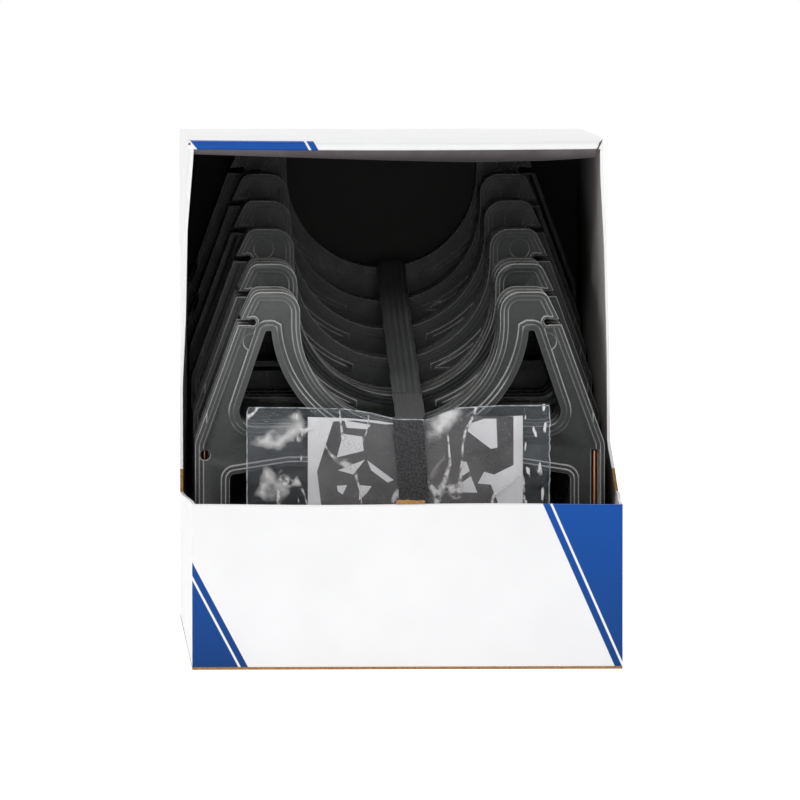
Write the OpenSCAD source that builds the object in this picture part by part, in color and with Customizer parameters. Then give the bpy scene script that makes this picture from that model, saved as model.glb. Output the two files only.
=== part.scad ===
// Folding hose support kit in its open-fronted carton: a stack of hinged support
// panels, their metal hinge pins, a hook-and-loop binding strap and a small polybag
// with a leaflet and tie-down straps. Millimetres, +Z up, the front faces -Y.
// The origin is the centre of the carton's underside.

/* [Carton] */
// Free gap between a panel's foot and the side wall
side_gap = 1.9; // [1.5:0.1:16]
// Free height between the highest panel and the lid
head_room = 5; // [4:0.2:40]
// Outside depth of the carton, front to back
carton_l = 412; // [400:1:440]
// Thickness of the carton board
board_t = 1.6; // [1:0.1:2.4]
// Height of the low front wall
tray_h = 88; // [60:1:110]
// Depth of the part that the lid covers, from the back
lid_reach = 297; // [292:1:310]
// Depth that the lid's front lip hangs down
lip_drop = 5; // [4:0.5:12]
// Width of the tab left standing on the front wall
tab_w = 15; // [8:1:30]

/* [Support panel] */
// Panels that are left folded behind the moving ones
rear_panels = 32; // [8:8:32]
// Distance from one panel to the next when folded
pitch = 7.6; // [7:0.1:7.6]
// Free gap between two folded panels
fold_gap = 0.3; // [0.2:0.05:0.5]
// Width of a panel over its feet
panel_w = 221; // [216:1:260]
// Height of the lowest panel
panel_h = 196.2; // [190:0.2:230]
// Height of the highest level of panels over the lowest level
stack_rise = 75.2; // [50:0.2:76]
// Height gained by every third panel within the two lowest levels
step_rise = 0.7; // [0:0.1:0.8]
// Depth of the cradle that the hose lies in
cradle_depth = 71.5; // [68:0.5:74]
// Radius of the cradle
cradle_r = 54; // [50:0.5:56]
// Width of the solid band under the cradle
band_w = 15.8; // [12:0.2:18]
// Width of one foot
foot_w = 18.5; // [15:0.5:22]
// Height of the arch between the feet
arch_h = 96; // [80:1:97]
// Height of the knee where the leg leans inwards
knee_h = 113; // [111:0.5:118]
// Thickness of the web between the rims
web_t = 2.4; // [1.6:0.1:3]
// Width of the outer rim
rim_w = 2.2; // [1.4:0.1:3]
// Width of the stepped bead inside the rim
bead_w = 2.3; // [1.4:0.1:3]
// Depth from the rim down to the bead
bead_drop = 0.9; // [0.5:0.1:1.2]
// Width of the tie-down slot
slot_w = 3; // [2:0.1:4]

/* [Hinge] */
// Radius of a hinge pin
pin_r = 1.5; // [1.2:0.1:1.7]
// Running clearance round a hinge pin
pin_gap = 0.05; // [0.02:0.01:0.1]
// Outer radius of a hinge knuckle
knuckle_r = 3.4; // [3.2:0.05:3.5]
// Distance from the panel's side to the hinge axis
axis_in = 5.2; // [5:0.1:6]
// Height of the lower end of the hinge
hinge_z = 6; // [4:0.5:10]
// Length of the hinge
hinge_len = 104; // [90:1:106]
// Number of knuckles in a hinge
knuckles = 3; // [3:2:7]

/* [Binding strap] */
// Width of the strap
strap_w = 16; // [12:1:24]
// Thickness of the strap
strap_t = 1.3; // [0.9:0.1:1.4]
// Sideways place of the strap's middle
strap_x = 5.5; // [-10:0.5:10]

/* [Polybag] */
// Left side of the bag
bag_left = -82.8; // [-90:0.1:-75]
// Right side of the bag
bag_right = 80.4; // [75:0.1:90]
// Height of the bag's top edge
bag_top = 134; // [125:0.5:140]
// Height of the bag's bottom edge
bag_foot = 40; // [30:1:60]
// Thickness of the film
film_t = 0.4; // [0.3:0.1:0.6]
// Left side of the leaflet
leaflet_left = -50; // [-54:0.5:-40]
// Width of the leaflet
leaflet_w = 116; // [100:1:120]
// Height of the leaflet
leaflet_h = 84; // [60:1:84]
// Thickness of the folded leaflet
leaflet_t = 0.6; // [0.4:0.1:0.8]
// Number of tie-down straps in the bag
tie_count = 6; // [2:1:6]
// Width of a tie-down strap
tie_w = 12; // [8:1:12]
// Length of a tie-down strap, folded up
tie_l = 100; // [60:1:104]
// Thickness of a folded tie-down strap
tie_t = 3; // [2:0.1:4]

/* [Hidden] */
$fn = 64;
MOVING = 8;
GROUP = 8;
REAR_GROUPS = rear_panels / GROUP;

// The panels, counted from the front, stand in levels: the first panel of each level,
// and the level's height as a share of the highest level's.
LEVEL_START = [1, 8, 17, 25, 32, 38];
LEVEL_SHARE = [0, 0.178, 0.402, 0.588, 0.769, 1];
STEPPED_LEVELS = 2;
function level(k, l = 5) = k >= LEVEL_START[l] ? l : level(k, l - 1);

// Height of panel k above the lowest one.
function rise(k) = stack_rise * LEVEL_SHARE[level(k)]
    + (level(k) < STEPPED_LEVELS ? step_rise * floor((k - LEVEL_START[level(k)]) / 3) : 0);

eps = 0.01;
total = MOVING + rear_panels;
carton_w = panel_w + 2 * (side_gap + board_t);
carton_h = panel_h + rise(total) + head_room + board_t;
wall_in_x = carton_w / 2 - board_t;
back_in_y = carton_l / 2 - board_t;
front_y = -carton_l / 2;
lid_under = carton_h - board_t;
lid_front_y = carton_l / 2 - lid_reach;

thick = pitch - fold_gap;
strap_room = 0.3;
stack_back_y = back_in_y - strap_t - 2 * strap_room;
stack_front_y = stack_back_y - total * pitch;
half_w = panel_w / 2;
axis_x = half_w - axis_in;
hinge_top = hinge_z + hinge_len;
knuckle_len = hinge_len / knuckles;
knuckle_gap = 0.4;
knuckle_clear = 0.3;
outboard_relief = 0.4;
panel_stand = board_t;

// Height of panel k over the floor it stands on.
function panel_top(k) = panel_h + rise(k) - panel_stand;
// Middle plane of panel k, and the plane where panels k and k + 1 meet.
function panel_y(k) = stack_front_y + pitch * (k - 0.5);
function joint_y(k) = stack_front_y + pitch * k;
// Panels 1 and 2 are joined on the right, 2 and 3 on the left, and so on.
function joint_side(k) = k % 2 == 1 ? 1 : -1;

function unit(v) = v / norm(v);
function left_of(v) = [-v.y, v.x];
function before(p, i) = p[(i + len(p) - 1) % len(p)];
function after(p, i) = p[(i + 1) % len(p)];

// Corner i of a counter-clockwise outline, moved inwards by d.
function inset_corner(p, i, d) =
    let (a = left_of(unit(p[i] - before(p, i))), b = left_of(unit(after(p, i) - p[i])))
    p[i] + d * (a + b) / (1 + a * b);

// Outline with rounded corners: radii[i] belongs to points[i], and d moves every side inwards.
module rounded(points, radii, d = 0) {
    q = [for (i = [0:len(points) - 1]) inset_corner(points, i, d)];
    u = [for (i = [0:len(q) - 1]) unit(q[i] - before(q, i))];
    v = [for (i = [0:len(q) - 1]) unit(after(q, i) - q[i])];
    turn = [for (i = [0:len(q) - 1]) cross(u[i], v[i]) > 0 ? 1 : -1];
    r = [for (i = [0:len(q) - 1]) radii[i] > 0 ? max(radii[i] - turn[i] * d, 0) : 0];
    t = [for (i = [0:len(q) - 1]) r[i] * tan(acos(u[i] * v[i]) / 2)];
    cut = [for (i = [0:len(q) - 1]) each r[i] > 0 ? [q[i] - t[i] * u[i], q[i] + t[i] * v[i]] : [q[i]]];
    difference() {
        union() {
            polygon(cut);
            for (i = [0:len(q) - 1])
                if (r[i] > 0 && turn[i] > 0)
                    translate(q[i] - t[i] * u[i] + r[i] * left_of(u[i])) circle(r[i]);
        }
        for (i = [0:len(q) - 1])
            if (r[i] > 0 && turn[i] < 0)
                translate(q[i] - t[i] * u[i] - r[i] * left_of(u[i])) circle(r[i]);
    }
}

module both_sides() {
    children();
    mirror([1, 0]) children();
}

// ---- outlines of a support panel, drawn in X and Z ----
peak_out_x = 78.6;
shoulder_x = 87;
shoulder_drop = 17.2;
arch_lean = 5;
arch_flat_x = 60;
slot_in_x = 79.5;
slot_drop = 16.3;
slot_r = slot_w / 2 + 0.4;
window_apex = [71, -20.9];
window_foot = [90, -72.5];
window_r = 8;
band_lift = 3.6;
window_border = 3.2;
cradle_lift = 12;
// Rounding of a peak's inner corner, which ends above the cradle's straight sides.
peak_in_r = min(12, cradle_depth - cradle_r - cradle_lift / 2 - 0.5);

function cradle_z(k) = panel_top(k) - cradle_depth + cradle_r;

// The cradle's round bottom and the lower part of its straight sides, grown by d.
module cradle_hole(k, d = 0) {
    translate([0, cradle_z(k)]) circle(cradle_r + d);
    translate([-cradle_r - d, cradle_z(k)]) square([2 * (cradle_r + d), cradle_lift]);
}

module panel_outline(k, d = 0) {
    up = rise(k);
    top = panel_top(k);
    right = [
        [arch_flat_x, arch_h + arch_lean + up],
        [half_w - foot_w, arch_h + up],
        [half_w - foot_w, 0],
        [half_w, 0],
        [half_w, knee_h + up],
        [shoulder_x, top - shoulder_drop],
        [peak_out_x, top],
        [cradle_r, top],
        [cradle_r, cradle_z(k) + cradle_lift / 2]];
    right_r = [6, 3, 1, 1, 10, 0, 6, peak_in_r, 0];
    n = len(right);
    left = [for (i = [n - 1:-1:0]) [-right[i].x, right[i].y]];
    left_r = [for (i = [n - 1:-1:0]) right_r[i]];
    difference() {
        rounded(concat(right, left), concat(right_r, left_r), d);
        cradle_hole(k, d);
    }
}

// One of the two three-cornered windows, grown by d.
module window(k, d = 0) {
    top = panel_top(k);
    foot = [window_foot.x, top + window_foot.y];
    inner_x = cradle_r * 0.5;
    difference() {
        rounded([[inner_x, foot.y], foot, [window_apex.x + 1.5, top + window_apex.y],
                 [window_apex.x - 1.5, top + window_apex.y], [inner_x, foot.y + 30]],
                [0, window_r, 1.4, 0, 0], -d);
        translate([0, cradle_z(k) + band_lift]) circle(cradle_r + band_w - d);
    }
}

// The slot that a tie-down strap is hooked in, grown by d.
module slot(k, d = 0) {
    z = panel_top(k) - slot_drop;
    translate([slot_in_x, z]) circle(slot_r + d);
    translate([slot_in_x, z - slot_w / 2 - d]) square([half_w - slot_in_x, slot_w + 2 * d]);
}

// Moulded recess inside a border of width d. Beside a hinge the face stays full.
module recess(k, d, side) {
    difference() {
        panel_outline(k, d);
        both_sides() window(k, window_border + d - rim_w);
        both_sides() slot(k, 1.4);
        if (side != 0)
            translate([side > 0 ? axis_x - knuckle_r - 1 : -half_w, 0])
                square([axis_in + knuckle_r + 1, hinge_top + 3]);
    }
}

// Extrudes an outline drawn in X and Z to the thickness from y0 to y1.
module between(y0, y1) {
    translate([0, y1, 0]) rotate([90, 0, 0]) linear_extrude(y1 - y0) children();
}

// Round marks left by the mould's ejectors: on the low panels beside the windows, on the
// high panels in the peaks. Each is given as its place and its radius.
LOW_MARK = [80, -27, 4.6];
HIGH_MARK = [70.7, -11, 5.4];
mark_depth = 0.3;
module ejector_marks(k) {
    mark = level(k) < STEPPED_LEVELS ? LOW_MARK : HIGH_MARK;
    for (s = [-1, 1])
        translate([s * mark[0], -web_t / 2, panel_top(k) + mark[1]])
            rotate([90, 0, 0]) cylinder(r = mark[2], h = 2 * mark_depth, center = true);
}

// Every second knuckle of a hinge, from number first. The cut that clears them is grown.
module knuckle_stack(y, side, first, r, grow) {
    for (i = [first:2:knuckles - 1])
        translate([side * axis_x, y,
                   hinge_z - panel_stand + i * knuckle_len - grow + knuckle_gap / 2])
            cylinder(r = r, h = knuckle_len - knuckle_gap + 2 * grow);
}

// The top knuckle, and the panel before it, are open to the front, so the pin shows there.
groove_w = 4.2;
groove_over = 1;
module pin_groove(y, side, depth) {
    translate([side * axis_x - groove_w / 2, y - depth, hinge_top - panel_stand - knuckle_len])
        cube([groove_w, depth, knuckle_len + groove_over]);
}

// Panel without its hinge: two faces with rims, a thin web, windows and slots.
// The front face has a stepped bead inside its rim, the rear face a plain rim.
module panel_body(k) {
    half_t = thick / 2;
    front_full = k > 1 ? joint_side(k - 1) : 0;
    rear_full = k < total ? joint_side(k) : 0;
    difference() {
        between(-half_t, half_t) difference() {
            panel_outline(k);
            both_sides() window(k);
            both_sides() slot(k);
        }
        between(-half_t - 1, -half_t + bead_drop) recess(k, rim_w, front_full);
        between(-half_t - 1, -web_t / 2) recess(k, rim_w + bead_w, front_full);
        between(web_t / 2, half_t + 1) recess(k, rim_w, rear_full);
        ejector_marks(k);
        for (s = [-1, 1], f = [-1, 1])
            translate([s * (axis_x - 1) + (s < 0 ? -axis_in - 1 - eps : 0),
                       f * half_t - outboard_relief, -eps])
                cube([axis_in + 1 + eps, 2 * outboard_relief, panel_top(k)]);
    }
}

module support_panel(k) {
    rear_side = joint_side(k);
    front_side = joint_side(k - 1);
    color("#1b1c1e") translate([0, 0, panel_stand]) difference() {
        union() {
            translate([0, panel_y(k), 0]) panel_body(k);
            if (k < total) knuckle_stack(joint_y(k), rear_side, 1, knuckle_r, 0);
            if (k > 1) knuckle_stack(joint_y(k - 1), front_side, 0, knuckle_r, 0);
        }
        if (k < total) {
            knuckle_stack(joint_y(k), rear_side, 0, knuckle_r + knuckle_clear, knuckle_gap);
            pin_bore(joint_y(k), rear_side);
            pin_groove(joint_y(k), rear_side, pitch + 1);
        }
        if (k > 1) {
            knuckle_stack(joint_y(k - 1), front_side, 1, knuckle_r + knuckle_clear, knuckle_gap);
            pin_bore(joint_y(k - 1), front_side);
            pin_groove(joint_y(k - 1), front_side, knuckle_r + 1);
        }
        if (k == 1) end_panel_hole();
    }
}

// The end panel has a round hole before the second hinge, where that pin's tip shows.
end_hole_r = 2.8;
end_hole_z = 108.3;
module end_panel_hole() {
    translate([-axis_x, panel_y(1), end_hole_z - panel_stand]) rotate([90, 0, 0])
        cylinder(r = end_hole_r, h = 2 * pitch, center = true);
}

module pin_bore(y, side) {
    translate([side * axis_x, y, hinge_z - panel_stand])
        cylinder(r = pin_r + pin_gap, h = hinge_len + panel_stand + groove_over);
}

module hinge_pin(k) {
    color("#b5714a") translate([joint_side(k) * axis_x, joint_y(k), hinge_z + pin_gap])
        cylinder(r = pin_r, h = hinge_len);
}

module rear_panel_group(g) {
    first = MOVING + (g - 1) * GROUP + 1;
    for (k = [first:first + GROUP - 1]) support_panel(k);
}

module rear_hinge_pins() {
    for (k = [MOVING + 1:total - 1]) hinge_pin(k);
}

// ---- carton ----
module carton_floor() {
    color("#e9eaec") translate([-carton_w / 2, front_y, 0]) cube([carton_w, carton_l, board_t]);
}

module carton_back() {
    color("#e9eaec") translate([-carton_w / 2, back_in_y, board_t])
        cube([carton_w, board_t, lid_under - board_t]);
}

torn_y = -85;
torn_h = 12;
torn_depth = 6;
// Side wall: low beside the tray, torn where it steps up, full height at the back.
module side_wall() {
    translate([wall_in_x, 0, 0]) rotate([90, 0, 90]) linear_extrude(board_t)
        polygon([[front_y + board_t, board_t], [back_in_y, board_t], [back_in_y, lid_under],
                 [lid_front_y, lid_under], [lid_front_y + torn_depth, tray_h + torn_h * 3],
                 [torn_y, tray_h + torn_h], [torn_y - torn_depth, tray_h],
                 [front_y + board_t, tray_h]]);
}

module carton_right_wall() {
    color("#e9eaec") side_wall();
}

module carton_left_wall() {
    color("#e9eaec") mirror([1, 0, 0]) side_wall();
}

module carton_front_wall() {
    color("#e9eaec") translate([-carton_w / 2, front_y, board_t])
        cube([carton_w, board_t, tray_h - board_t]);
}

liner_t = 1.2;
tab_h = 2.6;
tab_x = -6;
// Inner ply of the front wall, with the stub of a torn tab on its top edge.
module tray_liner() {
    color("#b08d63") translate([0, front_y + board_t + liner_t, 0]) rotate([90, 0, 0])
        linear_extrude(liner_t) {
            translate([-wall_in_x, board_t]) square([2 * wall_in_x, tray_h - 1 - board_t]);
            translate([tab_x, tray_h - 2]) square([tab_w, tab_h + 2]);
        }
}

// Lid: a flat panel whose front edge is folded down into a lip. Its back edge is round
// where it folds. Behind the lip, the turned-in end of the board hangs between the walls.
lip_r = board_t / 2;
turn_gap = 0.4;
turn_left = 2.5;
turn_mid = 7;
turn_mid_x = 40;
turn_right = 4.7;
module carton_lid() {
    y0 = lid_front_y;
    lip_z = carton_h - lip_drop;
    fold_y = carton_l / 2 - board_t / 2;
    turn_x = wall_in_x - turn_gap;
    color("#f2f3f5") {
        translate([-carton_w / 2, 0, 0]) rotate([90, 0, 90]) linear_extrude(carton_w) {
            rounded([[y0 - board_t, carton_h], [y0 - board_t, lip_z], [y0, lip_z],
                     [y0, lid_under], [fold_y, lid_under], [fold_y, carton_h]],
                    [lip_r, 0, 0, 0, 0, 0]);
            translate([fold_y, carton_h - board_t / 2]) circle(board_t / 2);
        }
        between(y0, y0 + board_t)
            polygon([[-turn_x, lid_under], [-turn_x, lip_z - turn_left],
                     [turn_mid_x, lip_z - turn_mid], [turn_x, lip_z - turn_right],
                     [turn_x, lid_under]]);
    }
}

// ---- polybag and what it holds ----
bag_gap = 0.3;
bag_back_y = stack_front_y - bag_gap;
leaflet_y = bag_back_y - film_t - tie_t - 2 * bag_gap;
bag_face_y = leaflet_y - leaflet_t - bag_gap - film_t;
dip_slope_w = 24;
bag_margin = 4;

// Flat sheet from x0 to x1 whose top edge dips to just under the strap.
module dipped_sheet(x0, x1, z0, z1) {
    dip_l = strap_x - strap_w / 2 - 1.5;
    dip_r = strap_x + strap_w / 2 + 1.5;
    low = over_z(1) - strap_rest - (bag_top - z1) * 0.3;
    polygon([[x0, z0], [x1, z0], [x1, z1], [dip_r + dip_slope_w, z1], [dip_r, low],
             [dip_l, low], [dip_l - dip_slope_w, z1], [x0, z1]]);
}

module polybag_back_film() {
    color("#cdd6de", 0.4) between(bag_back_y - film_t, bag_back_y)
        dipped_sheet(bag_left, bag_right, bag_foot, bag_top);
}

module polybag_front_film() {
    color("#cdd6de", 0.4) between(bag_face_y, bag_face_y + film_t)
        dipped_sheet(bag_left, bag_right, bag_foot, bag_top);
}

module instruction_leaflet() {
    z0 = bag_foot + bag_margin;
    color("#f4f4f4") between(leaflet_y - leaflet_t, leaflet_y)
        dipped_sheet(leaflet_left, leaflet_left + leaflet_w, z0, z0 + leaflet_h);
}

module tie_down_straps() {
    step = tie_w + bag_gap;
    color("#26272a") for (i = [0:tie_count - 1])
        translate([leaflet_left + bag_margin, leaflet_y + bag_gap, bag_foot + bag_margin + i * step])
            cube([tie_l, tie_t, tie_w]);
}

// ---- binding strap ----
strap_rest = 0.4;
// Height of the round cradle under the strap's far edge, over the cradle's lowest line
strap_lift = cradle_r - sqrt(pow(cradle_r, 2) - pow(abs(strap_x) + strap_w / 2, 2));
strap_back_z = arch_h + arch_lean + panel_stand + rise(total) - 20;

// Height of the strap's inner face over panel k, and the front face of that panel.
function over_z(k) = panel_stand + panel_top(k) - cradle_depth + strap_lift + strap_rest;
function face_y(k) = panel_y(k) - thick / 2;

// The strap's inner line: up the back, over the first panel of each level, over the
// bag's dipped edge, down its front, under it and slanting back up under the arches.
function strap_line() =
    let (
        back_y = stack_back_y + strap_room,
        front = bag_face_y - strap_room,
        low_z = bag_foot - strap_rest)
    concat(
        [[back_y, strap_back_z], [back_y, over_z(total)]],
        [for (l = [level(total):-1:0]) [face_y(LEVEL_START[l]), over_z(LEVEL_START[l])]],
        [[front, over_z(1)], [front, low_z], [bag_back_y, low_z]]);

module binding_strap() {
    line = strap_line();
    color("#2b2c2f") translate([strap_x - strap_w / 2, 0, 0]) rotate([90, 0, 90])
        linear_extrude(strap_w) difference() {
            polygon([for (i = [0:len(line) - 1]) inset_corner(line, i, -strap_t)]);
            polygon(line);
        }
}

carton_floor();
carton_back();
carton_left_wall();
carton_right_wall();
carton_front_wall();
tray_liner();
carton_lid();
for (i = [1:MOVING]) {
    support_panel(i);
    hinge_pin(i);
}
for (g = [1:REAR_GROUPS])
    rear_panel_group(g);
rear_hinge_pins();
binding_strap();
polybag_front_film();
polybag_back_film();
instruction_leaflet();
tie_down_straps();
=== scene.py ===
# %% [markdown]
# # A folded hose support in its carton
# This lesson dresses a imported CAD model: black moulded panels on copper-coloured pins, a
# hook-and-loop strap, a clear polybag and an open-fronted carton. The CAD model is loaded
# first and never moved. Every new piece but the strap's short lengths over the panels rides
# on one of its bodies.

# %% Load the fixed frame
import math
import random

import bmesh
import bpy
from mathutils import Matrix, Vector
from mathutils import noise as noise_lib


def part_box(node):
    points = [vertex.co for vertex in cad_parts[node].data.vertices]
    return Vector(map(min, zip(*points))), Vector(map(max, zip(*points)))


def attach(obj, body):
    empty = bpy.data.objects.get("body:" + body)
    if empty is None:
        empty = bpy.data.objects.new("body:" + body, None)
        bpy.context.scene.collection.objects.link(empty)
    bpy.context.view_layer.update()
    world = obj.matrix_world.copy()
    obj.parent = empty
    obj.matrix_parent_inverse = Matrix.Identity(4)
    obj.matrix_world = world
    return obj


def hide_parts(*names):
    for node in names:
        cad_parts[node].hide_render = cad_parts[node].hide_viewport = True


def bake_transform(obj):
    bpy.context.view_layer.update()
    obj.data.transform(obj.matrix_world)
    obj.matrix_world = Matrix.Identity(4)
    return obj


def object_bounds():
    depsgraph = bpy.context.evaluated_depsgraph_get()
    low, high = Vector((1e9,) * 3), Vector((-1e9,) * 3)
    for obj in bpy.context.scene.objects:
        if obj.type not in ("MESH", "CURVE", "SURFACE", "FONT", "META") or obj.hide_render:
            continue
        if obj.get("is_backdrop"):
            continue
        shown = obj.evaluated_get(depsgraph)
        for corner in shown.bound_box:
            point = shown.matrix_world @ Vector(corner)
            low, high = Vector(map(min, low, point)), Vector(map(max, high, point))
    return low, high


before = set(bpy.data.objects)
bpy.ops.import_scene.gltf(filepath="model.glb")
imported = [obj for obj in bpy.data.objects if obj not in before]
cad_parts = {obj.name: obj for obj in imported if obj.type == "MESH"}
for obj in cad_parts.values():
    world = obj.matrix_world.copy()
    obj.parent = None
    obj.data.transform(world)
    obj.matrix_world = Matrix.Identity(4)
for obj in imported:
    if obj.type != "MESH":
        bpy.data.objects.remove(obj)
cad_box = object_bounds()
MM = 0.001

# %% [markdown]
# ## Places and sizes
# The carton and the stack are measured on the CAD nodes, so that every size here follows
# the model. All lengths are in metres.

# %% Read places from the frame
LOW, HIGH = 0, 1


def node_span(node, axis):
    """Lowest and highest place of a CAD node along X, Y or Z."""
    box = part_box(node)
    return box[LOW]["XYZ".index(axis)], box[HIGH]["XYZ".index(axis)]


half_w = node_span("carton_lid", "X")[1]
front_y = node_span("carton_front_wall", "Y")[0]
back_y = node_span("carton_lid", "Y")[1]
top_z = node_span("carton_lid", "Z")[1]
tray_z = node_span("carton_front_wall", "Z")[1]
board = node_span("carton_floor", "Z")[1]
lip_y = node_span("carton_lid", "Y")[0]
stack_y = node_span("support_panel_1", "Y")[0]
print(f"carton {2 * half_w:.3f} x {back_y - front_y:.3f} x {top_z:.3f} m")
print(f"board {board / MM:.1f} mm")

# %% [markdown]
# ## Camera
# The view is a long lens from a little left of the middle and a little above, as in a
# catalogue shot. A long lens keeps the walls of the carton nearly parallel.

# %% Set the camera
CAMERA_PLACE = Vector((-0.2016, -5.421, 0.3908))
CAMERA_FORWARD = Vector((0.03781, 0.99815, -0.04745))
SENSOR = 36.0
LENS = 444.6

camera_data = bpy.data.cameras.new("camera")
camera_data.sensor_width = SENSOR
camera_data.lens = LENS
camera_data.clip_end = 50
camera = bpy.data.objects.new("camera", camera_data)
bpy.context.collection.objects.link(camera)
camera.location = CAMERA_PLACE
camera.rotation_euler = CAMERA_FORWARD.to_track_quat("-Z", "Y").to_euler()
bpy.context.scene.camera = camera
print("camera looks along", [round(v, 4) for v in CAMERA_FORWARD])

# %% [markdown]
# ## Colours and nodes
# Colours are written as the hex values that a picture shows. Blender works in linear light,
# so one function turns them over. A second one adds a node with its settings and links.
# Every material below is made with it, so each line names the node that it adds.

# %% Colour and node helpers
def linear(hex_colour, alpha=1.0):
    """sRGB hex to linear RGBA."""
    parts = [int(hex_colour[i : i + 2], 16) / 255 for i in (1, 3, 5)]
    return [c / 12.92 if c <= 0.04045 else ((c + 0.055) / 1.055) ** 2.4 for c in parts] + [alpha]


def add_node(kind, *values, tree=None, out=0, **named):
    """Adds a shader node and returns one of its outputs, or the node itself if out is None.

    kind is the node's name without ShaderNode. Math and Mix take a second word after a dot:
    what they work out, or on what. values fill the node's sockets in turn, where only those
    that it shows count. In named, a capital starts a socket's name, with _ for a space, and a
    small letter a setting. A socket takes a plain value, a hex colour or another node's
    output. The tree is the one that a given output is in, or else is named.
    """
    for value in (*values, *named.values()):
        if isinstance(value, bpy.types.NodeSocket):
            tree = value.id_data
    kind, _, word = kind.partition(".")
    node = tree.nodes.new("ShaderNode" + kind)
    if word:
        setattr(node, "data_type" if kind == "Mix" else "operation", word)
    given = list(zip([socket for socket in node.inputs if socket.enabled], values))
    for name, value in named.items():
        if name[0].isupper():
            given.append((node.inputs[name.replace("_", " ")], value))
        else:
            setattr(node, name, value)
    for socket, value in given:
        if isinstance(value, bpy.types.NodeSocket):
            tree.links.new(value, socket)
        else:
            socket.default_value = linear(value) if isinstance(value, str) else value
    if out is None:
        return node
    return node.outputs[out] if out else next(socket for socket in node.outputs if socket.enabled)


def new_material(name, **shader):
    """A material with one Principled shader. Returns it, the shader and the place on an object.

    The place is in metres. As every piece sits at the origin, it is the place in the world.
    """
    material = bpy.data.materials.new(name)
    material.use_nodes = True
    tree = material.node_tree
    tree.nodes.clear()
    surface = add_node("BsdfPrincipled", tree=tree, out=None, **shader)
    add_node("OutputMaterial", surface.outputs["BSDF"], out=None)
    return material, surface, add_node("TexCoord", tree=tree, out="Object")


def lay_on(surface, **outputs):
    """Links outputs to the shader's sockets of those names, with _ for a space."""
    for name, output in outputs.items():
        output.id_data.links.new(output, surface.inputs[name.replace("_", " ")])


print("helpers ready")

# %% [markdown]
# ## Materials of the carton
# The carton is folding boxboard: a kraft core with a white clay coat on the outside, which
# is printed and varnished. The coat is smooth with a soft gloss. The inside is grey board
# with painted shade, pale at the open front and darker deep inside and towards the lid, and
# the cut edges show the brown fibre of the core. The print is a pair of slanted blue blocks
# with a thin white line, worked out from straight lines in X, Y and Z, so it stays sharp at
# any distance and bends round a fold with the board.

# %% Coated and printed board
PRINT_BLUE = "#0A4FA6"
PRINT_BLUE_LOW = "#063E80"
COAT_WHITE = "#FAFAFB"
COAT_SHADE = "#F5F5F6"


def side_of_line(u, v, start, end, soft=0.15 * MM):
    """1 on the right of the line from start to end in the plane of u and v, 0 on its left."""
    du, dv = end[0] - start[0], end[1] - start[1]
    size = math.hypot(du, dv)
    a, b = dv / size, -du / size
    across = add_node("Math.ADD", add_node("Math.MULTIPLY", u, a), add_node("Math.MULTIPLY", v, b))
    far = a * start[0] + b * start[1]
    return add_node("MapRange", across, far - soft, far + soft)


def inside_shape(u, v, corners, soft=0.5 * MM):
    """1 inside a convex outline given clockwise in millimetres, with soft edges."""
    mask = None
    for start, end in zip(corners, corners[1:] + corners[:1]):
        side = side_of_line(u, v, [c * MM for c in start], [c * MM for c in end], soft)
        mask = side if mask is None else add_node("Math.MULTIPLY", mask, side)
    return mask


def boxboard_coat(name, print_mask, nicked=False):
    """White clay-coated board. print_mask(x, y, z) says where the blue ink is.

    nicked lets the brown core show in a few small nicks along the left edge.
    """
    material, surface, place = new_material(name, Roughness=0.42, IOR=1.5, Specular_IOR_Level=0.2)
    x, y, z = add_node("SeparateXYZ", place, out=None).outputs
    mottle = add_node("TexNoise", place, Scale=1 / (40 * MM), Detail=2, Roughness=0.55)
    white = add_node("Mix.RGBA", add_node("MapRange", mottle, 0.3, 0.8), COAT_WHITE, COAT_SHADE)
    colour = white
    if print_mask:
        ink = add_node("Mix.RGBA", add_node("MapRange", z, 0.0, tray_z), PRINT_BLUE_LOW, PRINT_BLUE)
        colour = add_node("Mix.RGBA", print_mask(x, y, z), white, ink)
    if nicked:
        edge = add_node("MapRange", x, -half_w + 1.6 * MM, -half_w + 1.0 * MM)
        chips = add_node("TexNoise", place, Scale=1 / (3.2 * MM), Detail=1, Roughness=0.55)
        worn = add_node("Math.MULTIPLY", edge, add_node("MapRange", chips, 0.56, 0.6))
        worn = add_node("Math.MULTIPLY", worn,
                        add_node("MapRange", y, lip_y + 32 * MM, lip_y + 28 * MM))
        colour = add_node("Mix.RGBA", worn, colour, "#8A5A34")
    grain = add_node("TexNoise", place, Scale=1 / (1.5 * MM), Detail=4, Roughness=0.55)
    lay_on(surface, Base_Color=colour, Normal=add_node("Bump", Height=grain, Distance=0.02 * MM))
    return material


def slanted_blocks(across, up, block_line, gap, stripe):
    """A solid block right of a slanted line, a white gap on its left and a thin stripe."""
    start, end = block_line
    block = side_of_line(across, up, start, end)
    near = [(p[0] - gap, p[1]) for p in (start, end)]
    far = [(p[0] - gap - stripe, p[1]) for p in (start, end)]
    band = add_node("Math.SUBTRACT", side_of_line(across, up, *far),
                    side_of_line(across, up, *near), use_clamp=True)
    return add_node("Math.MAXIMUM", block, band)


GAP = 1.3 * MM
STRIPE = 3.8 * MM


def front_print(x, y, z):
    """A block on the lower right, and its mirror image on the lower left, cut by the corner."""
    right = slanted_blocks(x, z, ((115.6 * MM, 0.0), (76.6 * MM, tray_z)), GAP, STRIPE)
    flipped = add_node("Math.MULTIPLY", x, -1.0)
    left = slanted_blocks(flipped, z, ((88.8 * MM, 0.0), (113.7 * MM, 47 * MM)), GAP, STRIPE)
    return add_node("Math.MAXIMUM", right, left)


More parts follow.
